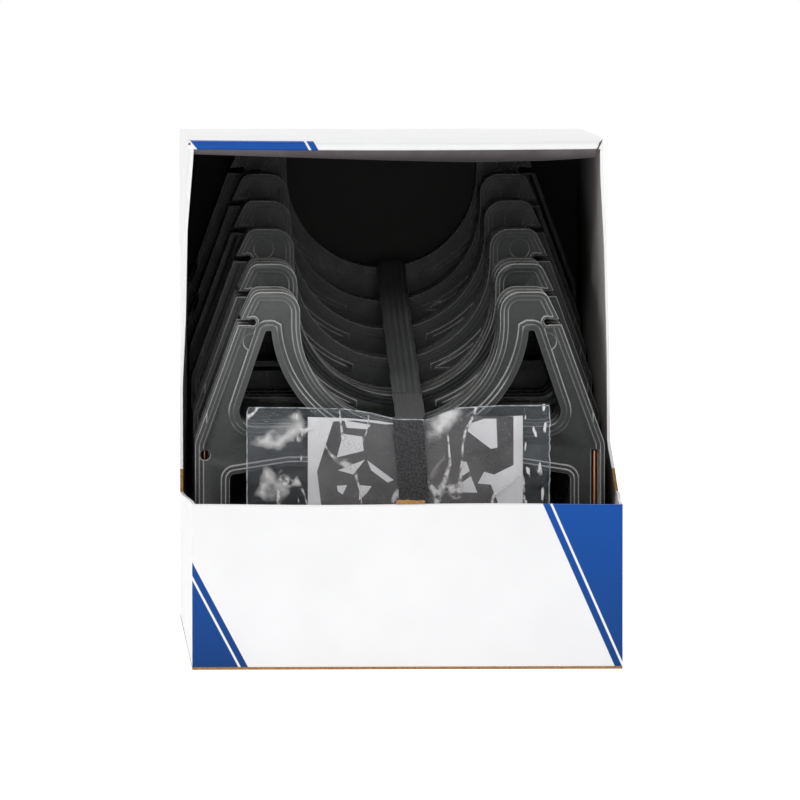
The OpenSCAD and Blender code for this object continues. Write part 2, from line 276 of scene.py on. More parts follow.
def lip_print(x, y, z):
    """A blue bar on the left half of the lid's lip, ended by the slanted gap and stripe."""
    flipped = add_node("Math.MULTIPLY", x, -1.0)
    bar = slanted_blocks(flipped, z, ((48 * MM, top_z - 7 * MM), (52 * MM, top_z)), GAP, STRIPE)
    on_lip = add_node("MapRange", y, lip_y + 1.9 * MM, lip_y + 1.6 * MM)
    corner = side_of_line(x, z, (-109.8 * MM, top_z - 4.2 * MM), (-113.2 * MM, top_z))
    return add_node("Math.MULTIPLY", add_node("Math.MULTIPLY", bar, on_lip), corner)


plain_coat = boxboard_coat("clay_coated_board", None)
front_coat = boxboard_coat("printed_board_front", front_print)
lid_coat = boxboard_coat("printed_board_lid", lip_print, nicked=True)


def kraft_core():
    """Cut edge of the board: brown pressed fibre, rough and matt."""
    material, surface, place = new_material("kraft_board_core", Roughness=0.95, IOR=1.4)
    fibres = add_node("TexNoise", place, Scale=1 / (0.8 * MM), Detail=5, Roughness=0.7)
    colour = add_node("Mix.RGBA", add_node("MapRange", fibres, 0.35, 0.7), "#8A6238", "#C79A63")
    lay_on(surface, Base_Color=colour, Normal=add_node("Bump", Height=fibres, Distance=0.15 * MM))
    return material


def inside_with_painted_shade():
    """The carton's inner face: grey board with painted shade, pale at the open front, darker
    towards the lid and dark further in.
    """
    material, surface, place = new_material("uncoated_board_painted_shade", Roughness=0.9, IOR=1.4)
    _, y, z = add_node("SeparateXYZ", place, out=None).outputs
    # Painted shade: the board turns near black further into the carton.
    depth = add_node("MapRange", y, lip_y + 60 * MM, lip_y + 330 * MM)
    fibres = add_node("TexNoise", place, Scale=1 / (3 * MM), Detail=4, Roughness=0.55)
    dark = add_node("Mix.RGBA", fibres, "#08090A", "#101112")
    # Painted shade: near the front the board is darker towards the top, under the lid.
    pale = add_node("Mix.RGBA", add_node("MapRange", z, 170 * MM, 270 * MM), "#EFE9E5", "#A39E9E")
    colour = add_node("Mix.RGBA", depth, pale, dark)
    lay_on(surface, Base_Color=colour, Normal=add_node("Bump", Height=fibres, Distance=0.05 * MM))
    return material


core = kraft_core()
inside = inside_with_painted_shade()
print("board materials:", plain_coat.name, front_coat.name, lid_coat.name, core.name, inside.name)

# %% [markdown]
# ## Modelling helpers
# Each piece starts as a primitive and is shaped in edit mode. An operator acts on all that
# is selected, so these helpers deselect first and then select by place or by normal.

# %% Selection and finishing helpers
def deselect_all():
    """Object mode with nothing selected."""
    if bpy.context.mode != "OBJECT":
        bpy.ops.object.mode_set(mode="OBJECT")
    bpy.ops.object.select_all(action="DESELECT")


def only(obj):
    """Makes obj the one selected and active object."""
    deselect_all()
    obj.select_set(True)
    bpy.context.view_layer.objects.active = obj


def edit(obj, kind="FACE"):
    """Edit mode with nothing selected."""
    only(obj)
    bpy.ops.object.mode_set(mode="EDIT")
    bpy.ops.mesh.select_mode(type=kind)
    bpy.ops.mesh.select_all(action="DESELECT")


def pick(obj, test):
    """In edit mode, selects the edges whose two ends pass test."""
    mesh = bmesh.from_edit_mesh(obj.data)
    for edge in mesh.edges:
        edge.select_set(test(edge.verts[0].co, edge.verts[1].co))
    mesh.select_flush_mode()
    bmesh.update_edit_mesh(obj.data)


def object_mode():
    """Back from edit mode."""
    bpy.ops.object.mode_set(mode="OBJECT")


def apply_place(obj):
    """Puts the object's place, turn and scale into its mesh."""
    only(obj)
    bpy.ops.object.transform_apply(location=True, rotation=True, scale=True)


def modify(obj, kind, **settings):
    """Adds a modifier with its settings and applies it."""
    only(obj)
    modifier = obj.modifiers.new(kind.lower(), kind)
    for name, value in settings.items():
        setattr(modifier, name, value)
    bpy.ops.object.modifier_apply(modifier=modifier.name)


def smooth(obj, degrees=35):
    """Smooth shading, except over edges sharper than the angle."""
    only(obj)
    bpy.ops.object.shade_smooth_by_angle(angle=math.radians(degrees))


def block(name, low, high):
    """A cube primitive from its low to its high corner."""
    deselect_all()
    middle = [(a + b) / 2 for a, b in zip(low, high)]
    bpy.ops.mesh.primitive_cube_add(size=1, location=middle)
    obj = bpy.context.object
    obj.scale = [b - a for a, b in zip(low, high)]
    obj.name = name
    apply_place(obj)
    return obj


def outline(name, points):
    """A flat face drawn by extruding one vertex along points, which are 3-D places."""
    deselect_all()
    bpy.ops.mesh.primitive_plane_add(size=MM, location=points[0])
    obj = bpy.context.object
    obj.name = name
    apply_place(obj)
    edit(obj, "VERT")
    bpy.ops.mesh.select_all(action="SELECT")
    bpy.ops.mesh.merge(type="CENTER")
    bpy.ops.mesh.select_all(action="SELECT")
    for a, b in zip(points, points[1:]):
        step = Vector(b) - Vector(a)
        bpy.ops.mesh.extrude_region_move(TRANSFORM_OT_translate={"value": step})
    bpy.ops.mesh.select_all(action="SELECT")
    bpy.ops.mesh.edge_face_add()
    object_mode()
    return obj


def cut_planes(axis, places):
    """In edit mode, cuts the whole mesh square to X, Y or Z at each of the places."""
    normal = [float(axis == name) for name in "XYZ"]
    for place in places:
        bpy.ops.mesh.select_all(action="SELECT")
        bpy.ops.mesh.bisect(plane_co=[place * n for n in normal], plane_no=normal)


def in_mm(*steps):
    """range(*steps), turned from millimetres to metres."""
    return [step * MM for step in range(*steps)]


def point_out():
    """Ends an edit: all faces of the mesh are turned outwards, or one way on an open sheet."""
    bpy.ops.mesh.select_all(action="SELECT")
    bpy.ops.mesh.normals_make_consistent(inside=False)
    object_mode()


def turn_over(obj):
    """Turns every face of a sheet over."""
    edit(obj)
    bpy.ops.mesh.select_all(action="SELECT")
    bpy.ops.mesh.flip_normals()
    object_mode()


def drawn(name, verts, faces):
    """An object from places and faces, for a shape that follows a computed route."""
    mesh = bpy.data.meshes.new(name)
    mesh.from_pydata(verts, [], faces)
    obj = bpy.data.objects.new(name, mesh)
    bpy.context.collection.objects.link(obj)
    edit(obj)
    point_out()
    return obj


def copied(source, name):
    """A copy of an object with a mesh of its own."""
    deselect_all()
    piece = source.copy()
    piece.data = source.data.copy()
    piece.name = name
    bpy.context.collection.objects.link(piece)
    return piece


def joined(pieces, name):
    """All pieces as one object."""
    only(pieces[0])
    for piece in pieces:
        piece.select_set(True)
    bpy.ops.object.join()
    pieces[0].name = name
    return pieces[0]


def coat(obj, materials, choose=lambda middle, normal: 0):
    """Gives obj its material slots. choose(middle, normal) is the slot number of a face."""
    obj.data.materials.clear()
    for material in materials:
        obj.data.materials.append(material)
    for face in obj.data.polygons:
        face.material_index = choose(face.center, face.normal)


def settle(obj, body, slot_name, *nodes):
    """Lets obj ride on a body and hides the CAD nodes it stands for. slot_name is not used."""
    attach(obj, body)
    if nodes:
        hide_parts(*nodes)
    print(f"{obj.name}: {len(obj.data.polygons)} faces on {body}")


# %% [markdown]
# ## Carton floor and back
# Both are plain rectangles of board, so a cube primitive is enough, and a small bevel gives
# the cut edge its rounded corner. The outside is coated, the inside grey with painted shade
# and the cut edge brown. The back ends a little low, because the lid's edge swings through
# that place.

# %% Floor and back panels
rng = random.Random(7)
EDGE_BEVEL = 0.25 * MM


def board_coats(obj, outward, coat_material):
    """Outside coated, inside grey with painted shade, edges kraft. outward is the outside's normal.
    """
    out = Vector(outward)

    def choose(middle, normal):
        facing = normal.dot(out)
        return 0 if facing > 0.6 else 1 if facing < -0.6 else 2

    coat(obj, [coat_material, inside, core], choose)


def board_panel(name, node, outward, material, top_gap=0.0):
    """A flat panel of the carton. top_gap keeps its top edge clear of the lid as it swings."""
    low, high = (Vector(c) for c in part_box(node))
    high.z -= top_gap
    panel = block(name, low, high)
    modify(panel, "BEVEL", width=EDGE_BEVEL, segments=2, limit_method="ANGLE")
    board_coats(panel, outward, material)
    smooth(panel)
    return panel


floor_panel = board_panel("floor_board", "carton_floor", (0, 0, -1), plain_coat)
settle(floor_panel, "carton", "white_board", "carton_floor")
back_panel = board_panel("back_board", "carton_back", (0, 1, 0), plain_coat, top_gap=0.6 * MM)
settle(back_panel, "carton", "white_board", "carton_back")

# %% [markdown]
# ## Side walls
# The side wall is one sheet: low beside the tray, and full height behind the cut-away
# front. Where the cover was torn off, the edge is ragged. The outline is drawn point by
# point with short random steps on the torn stretch, then the sheet gets its thickness, and
# its front edge is bowed outwards a few millimetres by moving it with a soft falloff.

# %% Left and right walls
TEAR_Y = -85 * MM
TEAR_H = 12 * MM
EDGE_LEAN = 4 * MM
BOW_DEPTH = 150 * MM
# How far each wall's free front edge stands out, as (height, distance) in millimetres.
LEFT_BOW = ((0, 0), (88, 4.5), (145, 4.7), (181, 3.0), (230, 2.0), (246, 0.7), (273, -1.5))
RIGHT_BOW = ((0, 0), (88, 4.5), (100, 3.0), (114, 0.3), (160, 0.0), (220, -1.6), (257, -3.7),
             (273, -4.0))


def between(table, value):
    """Straight-line value from a table of (place, result) pairs, flat beyond its ends."""
    if value <= table[0][0]:
        return table[0][1]
    for (a, low), (b, high) in zip(table, table[1:]):
        if value <= b:
            return low + (high - low) * (value - a) / (b - a)
    return table[-1][1]


def torn(start, end, steps, wander):
    """Points after start, with a ragged wander in the YZ plane, and then end itself."""
    points = []
    for i in range(1, steps):
        t = i / steps
        y = start[0] + (end[0] - start[0]) * t + rng.uniform(-wander, wander)
        z = start[1] + (end[1] - start[1]) * t + rng.uniform(-wander, wander)
        points.append((y, z))
    return points + [end]


def side_wall(name, side):
    """One side wall as a sheet with its thickness. side is -1 on the left and 1 on the right."""
    low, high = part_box("carton_right_wall")
    x_out = half_w * side
    under = top_z - board
    edge_y = lip_y + board
    corner = (low[1], tray_z)
    step_low = (TEAR_Y - 6 * MM, tray_z)
    step_high = (TEAR_Y, tray_z + TEAR_H)
    path = [(low[1], board), (high[1], board), (high[1], under), (edge_y, under)]
    edge_foot = (edge_y + EDGE_LEAN, tray_z + 3 * TEAR_H)
    path += torn((edge_y, under), edge_foot, 14, 0.25 * MM)
    path += torn(edge_foot, step_high, 8, 0.8 * MM)
    path += torn(step_high, step_low, 7, 0.9 * MM)
    path += [corner]
    wall = outline(name, [(x_out, y, z) for y, z in path])
    edit(wall)
    cut_planes("Y", in_mm(-180, 200, 24))
    cut_planes("Z", in_mm(20, 276, 16))
    point_out()
    bow_wall(wall, side)
    modify(wall, "SOLIDIFY", thickness=board, offset=-side_sign(wall, side))
    coat(wall, [plain_coat, inside, core], wall_slot(side))
    smooth(wall, 30)
    return wall


def wall_slot(side):
    """Outside and cut edges coated, inside grey with painted shade, bare fibre only along the torn
    step.
    """

    def choose(middle, normal):
        if abs(normal.x) > 0.6:
            return 0 if normal.x * side > 0 else 1
        torn_step = middle.y < TEAR_Y + 8 * MM and tray_z - MM < middle.z < tray_z + TEAR_H + MM
        return 2 if torn_step and middle.y > TEAR_Y - 8 * MM else 0

    return choose


def side_sign(wall, side):
    """1 if the sheet's faces point to the wall's outside, so that the thickness goes inwards."""
    return -1 if wall.data.polygons[0].normal.x * side < 0 else 1


def bow_wall(wall, side):
    """Bows the free front edge, fading to nothing at the front corner and deep inside."""
    bow = LEFT_BOW if side < 0 else RIGHT_BOW
    for vertex in wall.data.vertices:
        behind = 1 - (vertex.co.y - lip_y) / BOW_DEPTH
        before = 1 - (lip_y - vertex.co.y) / (lip_y - front_y)
        near = max(0.0, min(1.0, behind, before))
        near *= near * (3 - 2 * near)
        vertex.co.x += side * near * between(bow, vertex.co.z / MM) * MM


for side, name in ((-1, "left"), (1, "right")):
    wall = side_wall(f"{name}_side_board", side)
    settle(wall, "carton", "white_board", f"carton_{name}_wall")

# %% [markdown]
# ## Front wall and its inner ply
# The low front wall is folded double over its top edge. The outer ply carries the print,
# which runs over the fold. The inner ply shows bare kraft along its cut edge, and a stub of
# a torn tab stands on it.

# %% Front wall
FOLD_R = 1.0 * MM
FOLD_WAVE = 0.35 * MM


def front_wall():
    """The front wall, its outer top edge rounded as a fold and very slightly wavy."""
    low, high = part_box("carton_front_wall")
    wall = block("front_board", low, high)
    edit(wall, "EDGE")
    pick(wall, lambda a, b: min(a.z, b.z) > high[2] - MM and max(a.y, b.y) < low[1] + 0.1 * MM)
    bpy.ops.mesh.bevel(offset=FOLD_R, segments=4, affect="EDGES")
    cut_planes("X", in_mm(-100, 101, 20))
    object_mode()
    for vertex in wall.data.vertices:
        if vertex.co.z > tray_z - 3 * MM:
            vertex.co.z += FOLD_WAVE * (math.sin(vertex.co.x * 38) - 1)
    coat(wall, [front_coat, inside], lambda middle, normal: 1 if normal.y > 0.6 else 0)
    smooth(wall, 30)
    return wall


front = front_wall()
settle(front, "carton", "white_board", "carton_front_wall")


def inner_ply():
    """The inner ply, which ends a millimetre under the fold."""
    low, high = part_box("tray_liner")
    ply_top = tray_z - MM
    ply = block("front_inner_ply", low, (high[0], high[1], ply_top))
    modify(ply, "BEVEL", width=EDGE_BEVEL, segments=2, limit_method="ANGLE")
    coat(ply, [inside, core], lambda middle, normal: 1 if normal.z > 0.4 else 0)
    smooth(ply)
    return ply


liner = inner_ply()
settle(liner, "carton", "kraft_board", "tray_liner")

TAB_FROM, TAB_TO, TAB_TOP = -6 * MM, 9 * MM, 90.2 * MM


def torn_tab():
    """The stub of a torn tab: a sliver of kraft with a ragged top edge."""
    y = node_span("tray_liner", "Y")[0] + 0.1 * MM
    bottom = tray_z - 2 * MM
    points = [(TAB_FROM, y, bottom), (TAB_TO, y, bottom), (TAB_TO, y, TAB_TOP - 0.6 * MM)]
    steps = 12
    for i in range(1, steps):
        x = TAB_TO + (TAB_FROM - TAB_TO) * i / steps
        points.append((x, y, TAB_TOP - 0.5 * MM + rng.uniform(-0.4, 0.4) * MM))
    points.append((TAB_FROM, y, TAB_TOP - 0.8 * MM))
    tab = outline("torn_tab", points)
    modify(tab, "SOLIDIFY", thickness=1.0 * MM, offset=1)
    coat(tab, [core])
    return tab


settle(torn_tab(), "carton", "kraft_board")

# %% [markdown]
# ## Lid
# The lid is a sheet whose front edge is rolled down into a soft lip and turned back under
# itself. The sheet is cut into strips, its front strip is extruded down in small turns to
# make the roll, and the whole front edge then sags a little in the middle.

# %% Lid with its rolled lip
LIP_DROP = 5 * MM
LID_SAG = 0.7 * MM
SAG_DEPTH = 120 * MM
LID_TAPER = 4.2 * MM
ROLL_R = 2.2 * MM
CURL_R = 1.4 * MM
ROLL_STEPS = 5


def lid_sheet():
    """The lid: a flat sheet, its front strip extruded round and under, then sagged."""
    low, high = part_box("carton_lid")
    deselect_all()
    bpy.ops.mesh.primitive_plane_add(size=1, location=(0, 0, high[2]))
    sheet = bpy.context.object
    sheet.name = "lid_board"
    start = low[1] + ROLL_R
    sheet.scale = (2 * half_w, back_y - start, 1)
    sheet.location = (0, (back_y + start) / 2, high[2])
    apply_place(sheet)
    edit(sheet)
    cut_planes("X", in_mm(-100, 101, 10))
    cut_planes("Y", in_mm(-70, 200, 30))
    edit(sheet, "EDGE")
    pick(sheet, lambda a, b: max(a.y, b.y) < start + 0.01 * MM)
    turn = [math.pi / 2 * k / ROLL_STEPS for k in range(ROLL_STEPS + 1)]
    steps = [(-ROLL_R * (math.sin(b) - math.sin(a)), -ROLL_R * (math.cos(a) - math.cos(b)))
             for a, b in zip(turn, turn[1:])]
    steps.append((0, -(LIP_DROP - ROLL_R - CURL_R)))
    steps += [(CURL_R * (math.cos(a) - math.cos(b)), -CURL_R * (math.sin(b) - math.sin(a)))
              for a, b in zip(turn, turn[1:])]
    for step in steps:
        bpy.ops.mesh.extrude_region_move(TRANSFORM_OT_translate={"value": (0, *step)})
    point_out()
    for vertex in sheet.data.vertices:
        near = max(0.0, 1 - (vertex.co.y - low[1]) / SAG_DEPTH)
        across = vertex.co.x / half_w
        vertex.co.z -= LID_SAG * near**2 * math.cos(math.pi / 2 * across)
        if across > 0:
            vertex.co.x -= LID_TAPER * near * across
    if sheet.data.polygons[0].normal.z < 0:
        turn_over(sheet)
    modify(sheet, "SOLIDIFY", thickness=board, offset=-1)
    coat(sheet, [lid_coat, inside], lid_slot)
    smooth(sheet, 40)
    return sheet


def lid_slot(middle, normal):
    """Inner face grey with painted shade, all the rest coated."""
    return 1 if normal.z < -0.5 and middle.y > lip_y + 3 * MM or normal.y > 0.5 else 0


lid = lid_sheet()
settle(lid, "lid", "white_board", "carton_lid")

# %% [markdown]
# The end of the board is turned back under the lip. It is a scuffed strip whose lower edge
# hangs in a shallow curve, grey with painted shade that darkens it towards that edge. At the
# right corner the board has split.

# %% Turned-under strip
STRIP_TOP = top_z - LIP_DROP + MM
# The strip's lower edge as (x, height under the lip) in millimetres.
STRIP_LOW = ((-112, 2.4), (-60, 4.2), (0, 6.2), (40, 7.0), (80, 6.2), (106, 4.6), (112, 4.2))


def scuffed_board():
    """Grey inner ply with painted shade, darker towards its lower edge, with a few pale scratches.
    """
    material, surface, place = new_material("scuffed_board_painted_shade", Roughness=0.75, IOR=1.4)
    z = add_node("SeparateXYZ", place, out=None).outputs[2]
    cloud = add_node("TexNoise", place, Scale=1 / (14 * MM), Detail=3, Roughness=0.55)
    # Painted shade: the grey darkens towards the strip's lower edge, under the lip.
    shade = add_node("Mix.RGBA", add_node("MapRange", z, STRIP_TOP - 7 * MM, STRIP_TOP - MM),
                     "#2E2A2B", "#6A6465")
    base = add_node("Mix.RGBA", add_node("MapRange", cloud, 0.35, 0.7, 0, 0.5), shade, "#3A3435")
    lean = add_node("Mapping", place, Scale=(1, 1, 0.2), Rotation=(0, 0.5, 0))
    lines = add_node("TexNoise", lean, Scale=1 / (5 * MM), Detail=6, Roughness=0.8)
    scratch = add_node("MapRange", lines, 0.68, 0.74, 0, 0.6)
    colour = add_node("Mix.RGBA", scratch, base, "#A9A4A2")
    lay_on(surface, Base_Color=colour, Normal=add_node("Bump", Height=cloud, Distance=0.1 * MM))
    return material


STRIP_CUTS = 36


def turned_strip():
    """A strip one millimetre high is cut fine, and then let down to its hanging edge."""
    left, right = -half_w + board + 0.6 * MM, half_w - board - LID_TAPER
    deselect_all()
    bpy.ops.mesh.primitive_plane_add(size=1, rotation=(math.pi / 2, 0, 0))
    strip = bpy.context.object
    strip.name = "turned_strip"
    strip.scale = (right - left, MM, 1)
    strip.location = ((left + right) / 2, lip_y + board + 0.6 * MM, STRIP_TOP - MM / 2)
    apply_place(strip)
    edit(strip)
    cut_planes("X", [left + (right - left) * i / STRIP_CUTS for i in range(1, STRIP_CUTS)])
    cut_planes("Z", [STRIP_TOP - MM * i / 4 for i in range(1, 4)])
    object_mode()
    for vertex in strip.data.vertices:
        down = (STRIP_TOP - vertex.co.z) / MM
        depth = between(STRIP_LOW, vertex.co.x / MM) * MM + MM
        vertex.co.z = STRIP_TOP - down * depth
        vertex.co.y += 1.2 * MM * down**2
        if vertex.co.x > 0:
            vertex.co.x -= 2.4 * MM * down * (vertex.co.x / right) ** 8
    modify(strip, "SOLIDIFY", thickness=board * 0.6, offset=0)
    coat(strip, [scuffed_board(), core], lambda middle, normal: 1 if normal.z < -0.9 else 0)
    smooth(strip, 40)
    return strip


settle(turned_strip(), "lid", "white_board")


def corner_slit():
    """A thin torn line where the lid's right corner has split from the wall: torn fibre with
    painted shade.
    """
    y = lip_y - 0.25 * MM
    line = [(109.6, 278.1), (108.4, 276.2), (107.6, 274.0), (106.6, 272.4), (106.1, 269.6)]
    wide = [0.15, 0.5, 0.35, 0.5, 0.1]
    right = [((x + w) * MM, y, z * MM) for (x, z), w in zip(line, wide)]
    left = [((x - w) * MM, y, z * MM) for (x, z), w in zip(line, wide)]
    slit = outline("corner_slit", right + left[::-1])
    modify(slit, "SOLIDIFY", thickness=0.2 * MM, offset=0)
    split_fibre_shade, surface, place = new_material("torn_fibre_painted_shade", Roughness=0.95)
    fibres = add_node("TexNoise", place, Scale=1 / (0.5 * MM), Detail=4, Roughness=0.55)
    # Torn fibre, painted dark brown for the shade in the split.
    lay_on(surface, Base_Color=add_node("Mix.RGBA", fibres, "#2A1A10", "#6B4526"))
    coat(slit, [split_fibre_shade])
    return slit


settle(corner_slit(), "lid", "kraft_board")

# %% [markdown]
# ## Moulded panels
# The panels are injection moulded polypropylene, filled black. Moulding leaves a fine matt
# grain on the webs and a smoother skin on the rims. Painted shade makes the front panels
# greyer than those deep in the carton, and a painted highlight makes their rounded edges
# pale. A Bevel node finds those edges: it turns the normal near an edge, and the turn is
# the mask.

# %% Black polypropylene
PAINTED_SHADE_DEPTH = 250 * MM
FOOT_Z, PEAK_Z = 95 * MM, 185 * MM
HIGHLIGHT_RADIUS = 0.75 * MM
# The moulded window of the first level, in millimetres: its rims get much less painted highlight.
WINDOW = ((48, 130), (63, 168), (66, 179), (75, 179), (94, 125))


def black_polypropylene():
    """Filled black plastic with painted shade further in; upward faces are dusty and painted as lit
    from above.
    """
    material, surface, place = new_material(
        "moulded_polypropylene", IOR=1.49, Specular_IOR_Level=0.25)
    x, y, z = add_node("SeparateXYZ", place, out=None).outputs
    # Painted shade: grey on the front panels, near black deeper in the carton.
    depth = add_node("Math.POWER", add_node("MapRange", y, stack_y, stack_y + PAINTED_SHADE_DEPTH), 0.55)
    painted_shade_black = add_node("Mix.RGBA", depth, "#5C5F5E", "#131415")
    # Painted shade: darker towards the right.
    painted_shade_black = add_node("Mix.RGBA", add_node("MapRange", x, -45 * MM, 45 * MM, 0.0, 0.6), painted_shade_black,
                     "#232526")
    # Painted shade: darker towards the feet than at the peaks.
    tone_wear_and_painted_light = add_node("Mix.RGBA", add_node("MapRange", z, FOOT_Z, PEAK_Z, 0.8, 0.0), painted_shade_black, "#191A1B")
    cloud = add_node("TexNoise", place, Scale=1 / (25 * MM), Detail=3, Roughness=0.55)
    tone_wear_and_painted_light = add_node("Mix.RGBA", add_node("MapRange", cloud, 0.35, 0.75, 0.0, 0.35), tone_wear_and_painted_light, "#2B2D2E")
    # Upward faces turn pale: partly dust, partly painted light from above, less further in.
    up = add_node("SeparateXYZ", add_node("NewGeometry", tree=place.id_data, out="Normal"),
                  out=None).outputs[2]
    dust_and_top_light = add_node("Math.MULTIPLY", add_node("MapRange", up, 0.25, 0.9, 0.0, 0.75),
                    add_node("MapRange", depth, 0.0, 1.0, 1.0, 0.35))
    specks = add_node("TexNoise", place, Scale=1 / (1.3 * MM), Detail=6, Roughness=0.8)
    scuff = add_node("MapRange", specks, 0.67, 0.75, 0.0, 0.5)
    tone_wear_and_painted_light = add_node("Mix.RGBA", add_node("Math.MAXIMUM", dust_and_top_light, scuff), tone_wear_and_painted_light, "#A5A6A1")
    # Painted highlight: the rounded edges turn near white.
    edge_highlight = painted_edge_highlight(depth, x, z)
    tone_wear_and_painted_light = add_node("Mix.RGBA", edge_highlight, tone_wear_and_painted_light, "#E6E7E4")
    patches = add_node("TexNoise", place, Scale=1 / (9 * MM), Detail=4, Roughness=0.55)
    rough = add_node("MapRange", patches, 0.3, 0.7, 0.22, 0.34)
    grain = add_node("TexNoise", place, Scale=1 / (0.7 * MM), Detail=2, Roughness=0.55)
    lay_on(surface, Base_Color=tone_wear_and_painted_light, Roughness=rough,
           Normal=add_node("Bump", Height=grain, Distance=0.03 * MM))
    return material


def painted_edge_highlight(depth, x, z):
    """Painted highlight: 1 on the rounded edges that point forwards and up, less further in and by
    the window.
    """
    rounded = add_node("Bevel", tree=depth.id_data, samples=6, Radius=HIGHLIGHT_RADIUS)
    _, along, up = add_node("SeparateXYZ", rounded, out=None).outputs
    facing = add_node("Math.ABSOLUTE", along)
    edge = add_node("Math.MULTIPLY", add_node("MapRange", facing, 0.98, 0.88),
                    add_node("MapRange", facing, 0.2, 0.45))
    edge = add_node("Math.MULTIPLY", edge, add_node("MapRange", up, -0.45, 0.3, 0.15, 1.0))
    edge = add_node("Math.MULTIPLY", edge, add_node("MapRange", depth, 0.0, 1.0, 0.9, 0.42))
    window = inside_shape(add_node("Math.ABSOLUTE", x), z, WINDOW, 1 * MM)
    return add_node("Math.MULTIPLY", edge, add_node("MapRange", window, 0.0, 1.0, 1.0, 0.2))


polymer = black_polypropylene()


def copper_washed_steel():
    """Drawn steel rod with a copper wash: a metal, brushed along its length."""
    material, surface, place = new_material("copper_washed_steel", Metallic=1.0, Roughness=0.3)
    along = add_node("Mapping", place, Scale=(1, 1, 0.06))
    streak = add_node("TexNoise", along, Scale=1 / (0.6 * MM), Detail=4, Roughness=0.55)
    colour = add_node("Mix.RGBA", streak, "#B4683F", "#E6A57C")
    lay_on(surface, Base_Color=colour, Roughness=add_node("MapRange", streak, 0.2, 0.8, 0.22, 0.4))
    return material


copper = copper_washed_steel()

# %% [markdown]
# The CAD panels have the true shape but razor-sharp edges. A moulded edge has a radius of
# about half a millimetre, and that radius is what catches the light. So each panel is
# copied, its loose triangles are merged and joined into flat faces, and a Bevel modifier
# rounds the edges.

# %% Round the moulded edges
MOULD_RADIUS = 0.55 * MM
MOVING = 8
REAR_GROUPS = 4


def rounded_copy(node, name, segments):
    """A copy of a CAD node with its faces merged and its edges rounded."""
    piece = copied(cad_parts[node], name)
    piece.parent = None
    piece.matrix_world = Matrix.Identity(4)
    edit(piece, "VERT")
    bpy.ops.mesh.select_all(action="SELECT")
    bpy.ops.mesh.remove_doubles(threshold=0.01 * MM)
    bpy.ops.mesh.select_all(action="SELECT")
    bpy.ops.mesh.dissolve_limited(angle_limit=math.radians(0.6))
    object_mode()
    modify(piece, "BEVEL", width=MOULD_RADIUS, segments=segments, limit_method="ANGLE",
           angle_limit=math.radians(40), use_clamp_overlap=True)
    coat(piece, [polymer])
    smooth(piece, 30)
    return piece


for k in range(1, MOVING + 1):
    panel = rounded_copy(f"support_panel_{k}", f"moulded_panel_{k}", 2)
    settle(panel, f"panel_{k}", "black_polymer", f"support_panel_{k}")
for g in range(1, REAR_GROUPS + 1):
    panels = rounded_copy(f"rear_panel_group_{g}", f"moulded_panels_rear_{g}", 1)
    settle(panels, "carton", "black_polymer", f"rear_panel_group_{g}")

# %% Finish the pins
for name in [f"hinge_pin_{k}" for k in range(1, MOVING + 1)] + ["rear_hinge_pins"]:
    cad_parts[name].data.materials.clear()
    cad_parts[name].data.materials.append(copper)
print("pins:", MOVING, "that move, and the rear ones in one node")

# %% [markdown]
# ## Binding strap
# The strap is one loop of hook-and-loop tape: up the back, over the cradles, down over the
# bag and back under the arches. It is drawn as a ribbon along its route, and its sections
# are then cut apart at the panels into short lengths. The woven face, the stitched seam and
# the fuzzy loop face are one material that changes along the strap's height.

# %% Hook-and-loop material
LOOP_TOP = 139.5 * MM
TWILL_STEP, RIDGE_STEP, STITCH_STEP = 1.5 * MM, 3.4 * MM, 2 * MM


def hook_and_loop():
    """Woven herringbone above LOOP_TOP, a stitched line there, and fuzzy loops below."""
    material, surface, place = new_material(
        "hook_and_loop_tape", Roughness=0.9, IOR=1.45, Sheen_Weight=0.3)
    x, y, z = add_node("SeparateXYZ", place, out=None).outputs
    pile = add_node("TexNoise", place, Scale=1 / (0.9 * MM), Detail=5, Roughness=0.75)
    speck = add_node("MapRange", pile, 0.38, 0.68)
    loops = add_node("Mix.RGBA", speck, "#1E1E20", "#66676A")
    part = add_node("Math.FRACT", add_node("Math.MULTIPLY", x, 1 / RIDGE_STEP))
    ridge = add_node("Math.ABSOLUTE", add_node("Math.SUBTRACT", part, 0.5))
    along = add_node("Math.MULTIPLY", add_node("Math.ADD", y, z), 1 / TWILL_STEP)
    twill = add_node("Math.ADD", along, add_node("Math.MULTIPLY", ridge, 4.0))
    rib = add_node("Math.SINE", add_node("Math.MULTIPLY", twill, 2 * math.pi))
    woven = add_node("Mix.RGBA", add_node("MapRange", rib, -0.8, 0.8), "#2C2E31", "#5F6366")
    on_top = add_node("MapRange", z, LOOP_TOP - 0.4 * MM, LOOP_TOP + 0.4 * MM)
    colour = add_node("Mix.RGBA", on_top, loops, woven)
    seam = add_node("Math.ABSOLUTE", add_node("Math.SUBTRACT", z, LOOP_TOP))
    thread = add_node("Math.SINE", add_node("Math.MULTIPLY", x, 2 * math.pi / STITCH_STEP))
    stitch = add_node("Math.MULTIPLY", add_node("MapRange", seam, 0.7 * MM, 0.4 * MM),
                      add_node("MapRange", thread, -0.3, 0.2))
    colour = add_node("Mix.RGBA", stitch, colour, "#101012")
    height = add_node("Mix.RGBA", on_top, pile, add_node("MapRange", rib, -1, 1))
    lay_on(surface, Base_Color=colour, Normal=add_node("Bump", Height=height, Distance=0.35 * MM))
    return material


strap_tape = hook_and_loop()

# %% Draw the strap and cut it at the panels
STRAP_T = 1.3 * MM
STRAP_RAGGED = 0.25 * MM
PANEL_GAP = 0.3 * MM
panel_step = node_span("support_panel_2", "Y")[0] - stack_y
strap_low, strap_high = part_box("binding_strap")
strap_mid = (strap_low[0] + strap_high[0]) / 2
strap_half = (strap_high[0] - strap_low[0]) / 2
